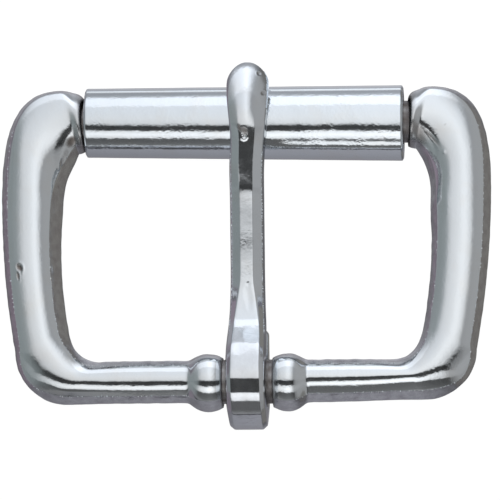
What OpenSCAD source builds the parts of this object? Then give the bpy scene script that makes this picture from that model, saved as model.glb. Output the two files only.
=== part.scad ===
// Roller buckle for a 38 mm strap: a cast frame, a rolled tube that turns on the
// frame's top bar, and a prong whose eye swings on the heel bar between two collars.
// It lies on its back, on the roller and on the eye of the prong, with the heel end
// a little higher. X runs along the bars, Y from the heel bar to the roller, Z up.

/* [Frame] */
// Distance between the axes of the heel bar and of the roller
axis_gap = 28.6; // [25:0.1:34]
// Clear width between the arms where they are furthest apart
inner_w = 40.3; // [40:0.1:46]
// Width of an arm, seen from the front
arm_w = 6.55; // [5.5:0.05:8]
// Thickness of an arm from front to back
arm_t = 4.6; // [3.6:0.1:5.2]
// How far each arm has come in by the level of the heel bar
arm_lean = 2.35; // [0:0.05:3]
// How far the arms and knobs sit to the left of the middle of the collars
arm_shift = 0.3; // [0:0.01:0.5]

/* [Shoulders] */
// Height of the shoulders above the axis of the roller
shoulder_rise = 3.9; // [3:0.05:5]
// Distance that the round of a shoulder takes inwards from the outer edge
shoulder_in = 6.4; // [5:0.1:8]
// Diameter of the round knob that faces each end of the roller
knob_d = 5.5; // [5.4:0.1:6.5]
// Diameter of the bar inside the roller
bar_d = 4.6; // [4:0.1:5]

/* [Heel bar] */
// Height of the heel bar, seen from the front
heel_w = 4.5; // [4:0.05:5]
// Thickness of the heel bar from front to back
heel_t = 4.5; // [4:0.05:5]
// Radius of the outer bottom corners
corner_r = 5.65; // [4:0.05:6]
// Diameter of the ball collars
ball_d = 6.35; // [6:0.05:7]
// Distance from the middle of a ball to its flat inner face
ball_cut = 1.65; // [1:0.05:2]
// Diameter of the journal between the collars
journal_d = 4.8; // [4:0.1:5]

/* [Roller] */
// Length of the roller
roller_len = 34.7; // [33.5:0.1:35]
// Diameter at the left end
roller_d_left = 7.55; // [7.5:0.05:8]
// Diameter at the right end, where the rolled tube stands a little open
roller_d_right = 8.25; // [8.1:0.05:8.6]
// Wall of the tube
roller_wall = 0.85; // [0.5:0.05:0.9]
// Width of the open seam
seam_w = 0.16; // [0.1:0.02:0.5]
// How far below the front the seam lies, in degrees
seam_turn = 51; // [0:1:360]
// Chamfer on the outer rims
rim_chamfer = 0.2; // [0.05:0.05:0.4]

/* [Prong] */
// Width of the prong at its eye
prong_w = 4.55; // [4:0.05:5]
// Thickness of the prong's metal at its eye
prong_t = 2.4; // [2:0.05:2.8]
// How far the tip reaches past the axis of the roller
prong_over = 6.25; // [5.5:0.05:9]
// How far the shank dips below its height at the eye
prong_dip = 3.5; // [2:0.1:3.8]
// How far the prong sits to the right of the middle of the collars
prong_shift = 0.15; // [0:0.05:0.15]
// How far the tip curls down past the roller
prong_curl = 3.3; // [1.5:0.1:3.6]
// Length of the straight tail behind the eye
tail_len = 5.5; // [2:0.1:6]
// How far the tail turns in towards the prong, in degrees
tail_turn = 15; // [5:1:30]

/* [Clearances] */
// Radial play of the eye on its journal
eye_play = 0.4; // [0.2:0.05:0.6]
// Side play of the eye between the collars, both sides together
collar_play = 0.85; // [0.4:0.05:1.2]
// Play of the roller between the knobs, both ends together
end_play = 0.6; // [0.4:0.05:1]
// Gap between the left end of the roller and its knob
left_gap = 0.15; // [0.1:0.05:0.25]
// Gap between the resting prong and the roller
rest_gap = 0.1; // [0.05:0.05:0.3]

/* [Hidden] */
$fn = 72;

// Corners around the section of a bar, and of the prong
BAR_SIDES = 24;
PRONG_SIDES = 20;
// How square the front and the back of a bar are: 2 is an ellipse
FRONT_N = 2.25;
BACK_N = 2.7;
// Growth of the heel bar where it runs into a ball, and the shares of its length that are ribbed
HEEL_SWELL_SHARE = 1.07;
HEEL_RIB_SHARES = [0.45, 0.9];
// Shape of the shoulders seen from the front: 2 is an ellipse
SHOULDER_N = 2.5;
// Share of the axis gap at which an arm is widest outside, is widest inside, and meets its web
OUT_WIDEST_SHARE = 0.745;
IN_WIDEST_SHARE = 0.54;
WEB_END_SHARE = 0.66;
// Web under a knob, as shares of the knob's diameter: where it starts past the knob's face and
// below its middle, and how far below the middle it bends into the arm
WEB_IN_SHARE = 0.1;
WEB_START_SHARE = 0.52;
WEB_BEND_SHARE = 0.9;
// Inside of a bottom corner, as shares of the outer radius: where it leaves the arm, and its lean
CORNER_IN_SHARE = 1.03;
CORNER_LEAN_SHARE = 0.1;
// Ribs along each stretch of a side of the frame
SHOULDER_RIBS = 13;
ARM_RIBS = 9;
CORNER_RIBS = 9;
BALL_RIBS = 8;

eye_r = journal_d / 2 + eye_play;
loop_r = eye_r + prong_t;
roller_r_left = roller_d_left / 2;
roller_r_right = roller_d_right / 2;
roller_r_mid = (roller_r_left + roller_r_right) / 2;
knob_x = (roller_len + end_play) / 2;
roller_x = -knob_x - arm_shift + left_gap;
collar_x = (prong_w + collar_play) / 2;
ball_x = collar_x + ball_cut;
out_x = inner_w / 2 + arm_w;
rest_z = roller_r_mid + rest_gap;
// Lying on its back, the roller and the eye touch the same plane
lie_tilt = asin((loop_r - roller_r_right) / axis_gap);

// Places where the outline of one side changes, measured from the heel axis
out_y = axis_gap * OUT_WIDEST_SHARE;
in_y = axis_gap * IN_WIDEST_SHARE;
shoulder_top = axis_gap + shoulder_rise;
arm_foot_y = corner_r - heel_w / 2;
web_end_y = axis_gap * WEB_END_SHARE;
corner_in_y = corner_r * CORNER_IN_SHARE;
heel_in_x = inner_w / 2 - heel_w;

function mix(a, b, t) = a + (b - a) * t;
function bezier(a, b, c, t) = mix(mix(a, b, t), mix(b, c, t), t);
function power(v, e) = sign(v) * pow(abs(v), e);

// Outer and inner edge of an arm at the height y
function arm_out(y) = out_x - arm_lean * pow((out_y - y) / out_y, 2);
function arm_in(y) = inner_w / 2 - arm_lean * pow((in_y - y) / in_y, 2);

// One side of the frame as ribs, from the knob to the ball: [outer point, inner point, thickness,
// roundness], where a roundness of 1 makes the section an ellipse.
// The shoulder: round outside, and a web inside that runs from under the knob into the arm.
function shoulder_out(t) =
    let (a = 90 * t, x0 = out_x - shoulder_in)
    [x0 + shoulder_in * power(sin(a), 2 / SHOULDER_N),
     out_y + (shoulder_top - out_y) * power(cos(a), 2 / SHOULDER_N)];
function shoulder_in_edge(t) =
    bezier([knob_x + knob_d * WEB_IN_SHARE, axis_gap - knob_d * WEB_START_SHARE],
           [arm_in(web_end_y), axis_gap - knob_d * WEB_BEND_SHARE],
           [arm_in(web_end_y), web_end_y], t);

// The round end of the knob: share of its length, share of its half height, and share of the way
// from the knob's own radius to the height of the shoulder
KNOB = [[0, 0.93, 0.45], [0.25, 0.98, 0.7]];
knob_len = out_x - shoulder_in - knob_x;
knob_ribs = [for (k = KNOB)
    [[knob_x + k[0] * knob_len, axis_gap + k[1] * mix(knob_d / 2, shoulder_rise, k[2])],
     [knob_x + k[0] * knob_d * WEB_IN_SHARE, axis_gap - k[1] * knob_d / 2], knob_d * k[1], 1]];
shoulder_ribs = [for (i = [0 : SHOULDER_RIBS - 1])
    let (t = i / SHOULDER_RIBS)
    [shoulder_out(t), shoulder_in_edge(t), mix(knob_d, arm_t, min(1, 1.5 * t)), max(0, 1 - 2 * t)]];
arm_ribs = [for (i = [0 : ARM_RIBS - 1])
    let (t = i / ARM_RIBS, y_out = mix(out_y, arm_foot_y, t), y_in = mix(web_end_y, corner_in_y, t))
    [[arm_out(y_out), y_out], [arm_in(y_in), y_in], arm_t, 0]];
corner_ribs = [for (i = [0 : CORNER_RIBS])
    let (t = i / CORNER_RIBS, a = -90 * t, foot = [arm_out(arm_foot_y) - corner_r, arm_foot_y])
    [foot + corner_r * [cos(a), sin(a)],
     bezier([arm_in(corner_in_y), corner_in_y],
            [arm_in(corner_in_y) - corner_r * CORNER_LEAN_SHARE, heel_w / 2],
            [heel_in_x, heel_w / 2], t),
     mix(arm_t, heel_t, t), 0]];
// The heel bar swells a little before it runs into the ball
ball_r = ball_d / 2;
neck_r = HEEL_SWELL_SHARE * heel_w / 2;
neck_x = ball_x + sqrt(pow(ball_r, 2) - pow(neck_r, 2));
heel_ribs = [for (t = HEEL_RIB_SHARES)
    let (x = mix(heel_in_x, neck_x, t)) [[x, -heel_w / 2], [x, heel_w / 2], heel_t, t]];
ball_from = asin(neck_r / ball_r);
ball_to = 180 - acos(ball_cut / ball_r);
ball_ribs = [for (i = [0 : BALL_RIBS])
    let (a = mix(ball_from, ball_to, i / BALL_RIBS), x = ball_x + ball_r * cos(a), h = ball_r * sin(a))
    [[x, -h], [x, h], 2 * h, 1]];
side_ribs = concat(knob_ribs, shoulder_ribs, arm_ribs, corner_ribs, heel_ribs, ball_ribs);

// Each side sits a little to the left, more and more from the ball to the knob
function settle(p, side) =
    [side * p[0] - arm_shift * min(1, max(0, (p[0] - ball_x) / (knob_x - ball_x))), p[1]];

// Closed ring of a bar's section between an outer and an inner point
function bar_ring(rib, side) =
    let (o = settle(rib[0], side), i = settle(rib[1], side), m = (o + i) / 2, h = (o - i) / 2)
    [for (k = [0 : BAR_SIDES - 1])
        let (a = 360 * k / BAR_SIDES, n = mix(sin(a) > 0 ? FRONT_N : BACK_N, 2, rib[3]),
             u = power(cos(a), 2 / n))
        [m[0] + h[0] * u, m[1] + h[1] * u, rib[2] / 2 * power(sin(a), 2 / n)]];

// Solid through a row of rings that have equally many corners
module loft(rings, flip = false) {
    n = len(rings[0]);
    last = len(rings) - 1;
    sides = [for (i = [0 : last - 1], k = [0 : n - 1])
        let (a = i * n + k, b = i * n + (k + 1) % n, c = b + n, d = a + n)
        each [[a, b, c], [a, c, d]]];
    caps = [[for (k = [n - 1 : -1 : 0]) k], [for (k = [0 : n - 1]) last * n + k]];
    faces = concat(sides, caps);
    polyhedron([for (r = rings, p = r) p],
        flip ? faces : [for (f = faces) [for (k = [len(f) - 1 : -1 : 0]) f[k]]]);
}

module along_x(d, from, to) {
    translate([from, 0, 0]) rotate([0, 90, 0]) cylinder(h = to - from, d = d);
}

module frame_shape() {
    for (side = [-1, 1]) loft([for (r = side_ribs) bar_ring(r, side)], side < 0);
    along_x(journal_d, -ball_x, ball_x);
    translate([-arm_shift, axis_gap, 0]) along_x(bar_d, -knob_x - knob_d / 2, knob_x + knob_d / 2);
}

// Rolled tube with chamfered rims and an open seam
module roller_shape() {
    wall = roller_wall;
    cut = rim_chamfer;
    difference() {
        rotate([90, 0, 90]) rotate_extrude() polygon([
            [roller_r_left - wall, 0], [roller_r_left - cut, 0], [roller_r_left, cut],
            [roller_r_right, roller_len - cut], [roller_r_right - cut, roller_len],
            [roller_r_right - wall, roller_len]]);
        rotate([seam_turn, 0, 0]) translate([-seam_w, -seam_w / 2, 0])
            cube([roller_len + 2 * seam_w, seam_w, roller_d_right]);
    }
}

// Sections of the prong from its eye to its tip. Their places are shares of the axis gap and of the
// reach past the roller; lift runs from the eye's height to that over the roller; dip, curl, thick
// and wide are shares of prong_dip, prong_curl, prong_t and prong_w; square is 2 for an ellipse.
// gap, past, lift, dip, curl, thick, wide, square
PRONG = [
    [0.00, 0.00, 0.00, 0.000, 0.00, 1.00, 1.000, 5.0],
    [0.08, 0.00, 0.00, 0.130, 0.00, 1.00, 0.990, 4.8],
    [0.14, 0.00, 0.00, 0.350, 0.00, 1.01, 0.965, 4.3],
    [0.20, 0.00, 0.00, 0.620, 0.00, 1.03, 0.920, 3.8],
    [0.25, 0.00, 0.00, 0.820, 0.00, 1.05, 0.880, 3.4],
    [0.31, 0.00, 0.00, 0.960, 0.00, 1.07, 0.855, 3.1],
    [0.38, 0.00, 0.00, 1.000, 0.00, 1.08, 0.845, 3.0],
    [0.48, 0.00, 0.00, 0.925, 0.00, 1.09, 0.840, 2.9],
    [0.58, 0.00, 0.00, 0.806, 0.00, 1.09, 0.840, 2.8],
    [0.66, 0.00, 0.10, 0.704, 0.00, 1.08, 0.840, 2.8],
    [0.73, 0.00, 0.30, 0.604, 0.00, 1.06, 0.845, 2.8],
    [0.80, 0.00, 0.55, 0.468, 0.00, 1.04, 0.850, 2.8],
    [0.85, 0.00, 0.75, 0.330, 0.00, 1.02, 0.860, 2.9],
    [0.90, 0.00, 0.90, 0.164, 0.00, 1.00, 0.870, 2.9],
    [0.95, 0.00, 1.00, 0.051, 0.00, 0.99, 0.890, 2.9],
    [1.00, 0.00, 1.00, 0.000, 0.00, 0.98, 0.910, 2.9],
    [1.00, 0.20, 1.00, 0.000, 0.07, 0.95, 0.945, 2.8],
    [1.00, 0.40, 1.00, 0.000, 0.22, 0.91, 0.975, 2.7]];
// Round of the tip, seen from the front: the share of the reach past the roller at which it starts,
// its last angle, and the powers that shape its outline, its thickness and its curl
TIP_START_SHARE = 0.6;
TIP_END_TURN = 88;
TIP_RIBS = 7;
TIP_OUTLINE_POWER = 1.15;
TIP_THIN_POWER = 0.7;
TIP_CURL_POWER = 1.6;
// Thickness of the tip as a share of prong_t, how far its end thins out, and its squareness
TIP_THICK_SHARE = 0.86;
TIP_THIN_SHARE = 0.85;
TIP_N = 2.6;

tip_t = prong_t * TIP_THICK_SHARE;

// Corner k of a section between -1 and 1 both ways, flat in the middle of all four sides
function flat_power(c, n, n_sides) = power(c, 2 / n) / pow(cos(180 / n_sides), 2 / n);
function prong_section(k, n) =
    let (a = 360 * (k + 0.5) / PRONG_SIDES)
    [flat_power(cos(a), n, PRONG_SIDES), flat_power(sin(a), n, PRONG_SIDES)];
function prong_ring(y, z, half_w, half_t, n, turn = 0) =
    [for (k = [0 : PRONG_SIDES - 1])
        let (p = prong_section(k, n), v = half_t * p[1])
        [half_w * p[0], y - v * sin(turn), z + v * cos(turn)]];

function prong_row_ring(r) =
    let (t = prong_t * r[5],
         z = mix(eye_r, rest_z, r[2]) - prong_dip * r[3] - prong_curl * r[4] + t / 2)
    prong_ring(axis_gap * r[0] + prong_over * r[1], z, prong_w / 2 * r[6], t / 2, r[7]);

// The tip ends in a half round that also thins and curls down
function tip_ring(i) =
    let (a = TIP_END_TURN * i / (TIP_RIBS - 1), s = mix(TIP_START_SHARE, 1, sin(a)),
         t = tip_t * mix(1, pow(cos(a), TIP_THIN_POWER), TIP_THIN_SHARE))
    prong_ring(axis_gap + prong_over * s, rest_z + tip_t / 2 - prong_curl * pow(s, TIP_CURL_POWER),
        prong_w / 2 * pow(cos(a), TIP_OUTLINE_POWER), t / 2, TIP_N);

// The straight tail behind the eye, with a round end: share of its length, share of the section
TAIL = [[0, 1], [0.35, 1], [0.7, 1], [0.87, 0.96], [0.95, 0.85], [1, 0.6]];
tail_at = 270 + tail_turn;
mid_r = eye_r + prong_t / 2;

module prong_shape() {
    loft(concat([for (r = PRONG) prong_row_ring(r)], [for (i = [0 : TIP_RIBS - 1]) tip_ring(i)]), true);
    rotate([90, 0, 90]) rotate([0, 0, 90]) rotate_extrude(angle = tail_at - 90)
        polygon([for (k = [0 : PRONG_SIDES - 1])
            let (p = prong_section(k, PRONG[0][7])) [mid_r + prong_t / 2 * p[1], prong_w / 2 * p[0]]]);
    loft([for (r = TAIL)
        prong_ring(mid_r * cos(tail_at) + tail_len * r[0] * -sin(tail_at),
            mid_r * sin(tail_at) + tail_len * r[0] * cos(tail_at),
            prong_w / 2 * r[1], -prong_t / 2 * r[1], PRONG[0][7], tail_turn)]);
}

// Where the buckle lies: on its back, with its box centred on the origin
tip_z = rest_z - prong_curl + tip_t / 2;
tip_y = (axis_gap + prong_over) * cos(lie_tilt) + tip_z * sin(lie_tilt);
mid_y = (tip_y - loop_r) / 2;

module lie() {
    translate([arm_shift, -mid_y, loop_r]) rotate([-lie_tilt, 0, 0]) children();
}

module frame() {
    color("silver") lie() frame_shape();
}

module roller() {
    color("gainsboro") lie() translate([roller_x, axis_gap, 0]) roller_shape();
}

module prong() {
    color("lightgray") lie() translate([prong_shift, 0, 0]) prong_shape();
}

frame();
roller();
prong();
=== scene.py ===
"""Looks of a plated roller buckle, lying on a pale table and seen from above the heel bar."""

import logging
import math
from dataclasses import dataclass, field
from enum import IntEnum
from typing import Callable, NamedTuple

import bpy
import numpy as np
from mathutils import Matrix, Vector, noise

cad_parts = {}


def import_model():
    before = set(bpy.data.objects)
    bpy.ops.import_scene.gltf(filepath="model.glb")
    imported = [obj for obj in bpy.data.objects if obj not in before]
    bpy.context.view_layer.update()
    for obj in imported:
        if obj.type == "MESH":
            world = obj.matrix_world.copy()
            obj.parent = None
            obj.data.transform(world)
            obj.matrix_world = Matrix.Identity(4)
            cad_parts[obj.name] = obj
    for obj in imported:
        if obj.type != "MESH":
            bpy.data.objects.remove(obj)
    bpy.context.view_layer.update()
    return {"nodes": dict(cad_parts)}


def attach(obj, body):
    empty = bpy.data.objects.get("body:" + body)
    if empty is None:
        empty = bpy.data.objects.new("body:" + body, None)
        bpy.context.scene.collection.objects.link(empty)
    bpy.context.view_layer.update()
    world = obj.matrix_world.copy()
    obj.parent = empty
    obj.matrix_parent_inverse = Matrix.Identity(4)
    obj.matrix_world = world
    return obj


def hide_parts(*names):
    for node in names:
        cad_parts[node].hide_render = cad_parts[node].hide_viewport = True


LOG = logging.getLogger("buckle")
MM = 0.001
# share of the light that bright nickel gives back, used to turn a seen brightness into a lamp's
METAL_SHARE = 0.77

Number = float | np.ndarray
Socket = bpy.types.NodeSocket
Input = Socket | float
Colour = tuple[float, float, float, float]


def linear(level: float) -> float:
    """Turns a screen brightness of 0 to 255 into linear light."""
    v = level / 255
    return v / 12.92 if v <= 0.04045 else ((v + 0.055) / 1.055) ** 2.4


def mix(a: Number, b: Number, t: Number) -> Number:
    """Runs from a to b as t runs from 0 to 1."""
    return a + (b - a) * t


def ease(t: Number) -> Number:
    """Smooth step between 0 and 1."""
    t = np.clip(t, 0, 1)
    return t * t * (3 - 2 * t)


def spread(count: int) -> np.ndarray:
    """Shares from 0 to 1 that lie a little closer together at both ends."""
    u = np.linspace(0, 1, count + 1)
    return 0.5 * (u + (1 - np.cos(np.pi * u)) / 2)


def bezier(a: tuple, b: tuple, c: tuple, t: float) -> tuple[float, ...]:
    """Point at t on the curve that runs from a to c and bends towards b."""
    return tuple(mix(mix(i, j, t), mix(j, k, t), t) for i, j, k in zip(a, b, c))


def add_object(name: str, data: bpy.types.ID | None) -> bpy.types.Object:
    """Makes an object and links it to the scene."""
    obj = bpy.data.objects.new(name, data)
    bpy.context.scene.collection.objects.link(obj)
    return obj


# ------------------------------------------------------------------ sizes


@dataclass(frozen=True)
class BuckleSizes:
    """Driving sizes in millimetres, the same as in the CAD part."""

    axis_gap: float = 28.6
    inner_w: float = 40.3
    arm_w: float = 6.55
    arm_lean: float = 2.35
    arm_shift: float = 0.3
    shoulder_rise: float = 3.9
    shoulder_in: float = 6.4
    knob_d: float = 5.5
    bar_d: float = 4.6
    heel_w: float = 4.5
    corner_r: float = 5.65
    ball_d: float = 6.35
    ball_cut: float = 1.65
    journal_d: float = 4.8
    roller_len: float = 34.7
    roller_d_left: float = 7.55
    roller_d_right: float = 8.25
    roller_wall: float = 0.85
    seam_w: float = 0.16
    seam_turn: float = 51.0
    prong_w: float = 4.55
    prong_t: float = 2.4
    prong_over: float = 6.25
    prong_shift: float = 0.15
    prong_curl: float = 3.3
    tail_len: float = 5.5
    tail_turn: float = 15.0
    eye_play: float = 0.4
    collar_play: float = 0.85
    end_play: float = 0.6
    left_gap: float = 0.15
    rest_gap: float = 0.1

    @property
    def eye_r(self) -> float:
        """Inner radius of the prong's eye."""
        return self.journal_d / 2 + self.eye_play

    @property
    def loop_r(self) -> float:
        """Outer radius of the prong's eye."""
        return self.eye_r + self.prong_t

    @property
    def knob_x(self) -> float:
        """Distance of a knob's face from the middle."""
        return (self.roller_len + self.end_play) / 2

    @property
    def collar_x(self) -> float:
        """Distance of a collar's flat face from the middle."""
        return (self.prong_w + self.collar_play) / 2

    @property
    def ball_x(self) -> float:
        """Distance of a ball's middle from the middle of the buckle."""
        return self.collar_x + self.ball_cut

    @property
    def out_x(self) -> float:
        """Half of the buckle's width."""
        return self.inner_w / 2 + self.arm_w

    @property
    def rest_z(self) -> float:
        """Height of the prong's underside over the roller's axis."""
        return (self.roller_d_left + self.roller_d_right) / 4 + self.rest_gap

    @property
    def lie_tilt(self) -> float:
        """How far the buckle leans towards the roller, in radians."""
        return math.asin((self.loop_r - self.roller_d_right / 2) / self.axis_gap)

    @property
    def tip_t(self) -> float:
        """Thickness of the prong's tip."""
        return self.prong_t * 0.86

    @property
    def mid_y(self) -> float:
        """Distance from the heel axis to the middle of the box."""
        tip_z = self.rest_z - self.prong_curl + self.tip_t / 2
        tip_y = (self.axis_gap + self.prong_over) * math.cos(self.lie_tilt)
        return (tip_y + tip_z * math.sin(self.lie_tilt) - self.loop_r) / 2

    def lie(self, points: np.ndarray) -> np.ndarray:
        """Moves points from the heel axis's frame to the table, in metres.

        Args:
            points: array of x, y, z in millimetres.

        Returns:
            Array of the same shape in metres.
        """
        c, s = math.cos(self.lie_tilt), math.sin(self.lie_tilt)
        x, y, z = points[..., 0], points[..., 1], points[..., 2]
        return MM * np.stack(
            [x + self.arm_shift, y * c + z * s - self.mid_y, z * c - y * s + self.loop_r], -1
        )


# ------------------------------------------------------------------ meshes


def wobble(points: np.ndarray, size: float, seed: float) -> np.ndarray:
    """Smooth noise between about -1 and 1.

    Args:
        points: array of x, y, z in millimetres.
        size: wavelength in millimetres.
        seed: shift that makes one noise differ from another.

    Returns:
        Array with one number a point.
    """
    flat = points.reshape(-1, 3) / size + seed
    values = [noise.noise(Vector(p)) for p in flat]
    return np.array(values).reshape(points.shape[:-1])


def lattice_normals(rings: np.ndarray) -> np.ndarray:
    """Outward unit normals of a lattice whose rings are closed.

    Args:
        rings: array of rings, points and x, y, z.

    Returns:
        Array of the same shape.
    """
    around = np.roll(rings, -1, 1) - np.roll(rings, 1, 1)
    along = np.gradient(rings, axis=0)
    n = np.cross(around, along)
    n /= np.maximum(np.linalg.norm(n, axis=-1, keepdims=True), 1e-9)
    middle = rings.mean(axis=1, keepdims=True)
    return n if ((rings - middle) * n).sum() > 0 else -n


@dataclass(frozen=True)
class Dent:
    """A hollow in a plated face, with a raised rim.

    Attributes:
        x: place to the right of the collars' middle, in millimetres.
        y: place above the heel axis.
        radius: half of the hollow's width.
        depth: how deep it is; a negative depth is a bump.
        stretch: length over width, along Y.
        rim: height of the rim as a share of the depth.
        turn: how far its length is turned from Y towards -X, in degrees.
        dirt: how dull and dark its bottom is, with dirt and with painted shade.
    """

    # over the radius: width of the hollow, place and width of the rim, width of the dirt and painted shade
    HOLLOW, RIM_AT, RIM_WIDE, DIRT_WIDE = 0.62, 1.05, 0.28, 0.9
    # how far the edge strays over the radius, the size of its waves in millimetres, and their seed
    STRAY, STRAY_SIZE, SEED = 0.22, 0.45, 7.0

    x: float
    y: float
    radius: float
    depth: float
    stretch: float = 1.0
    rim: float = 0.25
    turn: float = 0.0
    dirt: float = 0.0

    def away(self, points: np.ndarray) -> np.ndarray:
        """Distance of each point from the dent's middle, over its radius."""
        c, s = math.cos(math.radians(self.turn)), math.sin(math.radians(self.turn))
        x, y = points[..., 0] - self.x, points[..., 1] - self.y
        return np.hypot(x * c + y * s, (y * c - x * s) / self.stretch) / self.radius

    def press(self, points: np.ndarray) -> np.ndarray:
        """How far the dent moves each point along its normal, in millimetres."""
        r = self.away(points) * (1 + self.STRAY * wobble(points, self.STRAY_SIZE, self.SEED + self.x))
        rim = self.rim * np.exp(-(((r - self.RIM_AT) / self.RIM_WIDE) ** 2))
        return self.depth * (rim - np.exp(-((r / self.HOLLOW) ** 2))) * (points[..., 2] > 0)

    def soil(self, points: np.ndarray) -> np.ndarray:
        """How dark the dent makes each point, with dirt and painted shade."""
        return self.dirt * np.exp(-((self.away(points) / self.DIRT_WIDE) ** 4)) * (points[..., 2] > 0)


def waves(rings: np.ndarray, height: float, size: float, lower: float, seed: float) -> np.ndarray:
    """Waves of this height and length in millimetres, lowered a little as a whole."""
    return height * wobble(rings, size, seed) - lower


def pressed(rings: np.ndarray, push: np.ndarray, dents: tuple[Dent, ...]) -> np.ndarray:
    """Moves rings along their normals.

    Args:
        rings: array of rings, points and x, y, z in millimetres.
        push: how far each point moves outwards.
        dents: hollows to press as well.

    Returns:
        The moved rings.
    """
    for dent in dents:
        push = push + dent.press(rings)
    return rings + lattice_normals(rings) * push[..., None]


class Skin:
    """Collects the rings of a piece and turns them into one closed mesh."""

    # rings of a bar, mean and range of its darkness from dirt and painted shade, and size and seed of its
    # patches
    BAR_RINGS, BAR_SOOT, SOOT_RANGE, SOOT_PATCHES = 41, 0.65, 0.35, (0.5, 3.0)

    def __init__(self, name: str) -> None:
        """Starts an empty skin.

        Args:
            name: name of the object to make.
        """
        self.name = name
        self.points: list[np.ndarray] = []
        self.faces: list[tuple[int, ...]] = []
        self.rough: list[np.ndarray] = []
        self.soot: list[np.ndarray] = []
        self.count = 0

    def loft(self, rings: np.ndarray, rough: np.ndarray, soot: np.ndarray, flip: bool = False) -> None:
        """Adds a closed tube through a row of rings, with a fan over each end.

        Args:
            rings: array of rings, points and x, y, z in millimetres.
            rough: how rough the surface is at each point, between 0 and 1.
            soot: how dull and dark it is at each point, from dirt and from painted shade.
            flip: turns the faces over.
        """
        n_rings, n = rings.shape[:2]
        ends = np.stack([rings[0].mean(axis=0), rings[-1].mean(axis=0)])
        self.points += [rings.reshape(-1, 3), ends]
        for store, values in ((self.rough, rough), (self.soot, soot)):
            store += [values.reshape(-1), np.array([values[0].mean(), values[-1].mean()])]
        here = self.count + np.arange(n_rings * n).reshape(n_rings, n)
        next_to = np.roll(here, -1, 1)
        first, last = self.count + n_rings * n, self.count + n_rings * n + 1
        self.count = last + 1
        found = np.stack([here[:-1], next_to[:-1], next_to[1:], here[1:]], -1).reshape(-1, 4).tolist()
        for a, b, c, d in np.stack([here[0], next_to[0], here[-1], next_to[-1]], -1).tolist():
            found += [(b, a, first), (c, d, last)]
        self.faces += [f[::-1] for f in found] if flip else found

    def cylinder(self, start: np.ndarray, end: np.ndarray, radius: float, sides: int) -> None:
        """Adds a closed, rough cylinder along X from start to end, darkened by dirt and painted shade."""
        a = 2 * np.pi * np.arange(sides) / sides
        ring = np.stack([0 * a, radius * np.cos(a), radius * np.sin(a)], -1)
        rings = np.stack([ring + mix(start, end, t) for t in np.linspace(0, 1, self.BAR_RINGS)])
        soot = self.BAR_SOOT + self.SOOT_RANGE * wobble(rings, *self.SOOT_PATCHES)
        self.loft(rings, np.ones(rings.shape[:2]), soot)

    def build(self, sizes: BuckleSizes, material: bpy.types.Material) -> bpy.types.Object:
        """Makes the object, with the roughness and the darkness from dirt and painted shade as attributes.

        Args:
            sizes: sizes that place the piece on the table.
            material: its finish.

        Returns:
            The new object, linked to the scene.
        """
        mesh = bpy.data.meshes.new(self.name)
        placed = sizes.lie(np.concatenate(self.points))
        mesh.from_pydata(placed.tolist(), [], self.faces)
        mesh.polygons.foreach_set("use_smooth", [True] * len(mesh.polygons))
        for name, values in (("rough", self.rough), ("soot", self.soot)):
            layer = mesh.attributes.new(name, "FLOAT", "POINT")
            layer.data.foreach_set("value", np.concatenate(values))
        mesh.materials.append(material)
        return add_object(self.name, mesh)


# ------------------------------------------------------------------ finishes


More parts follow.
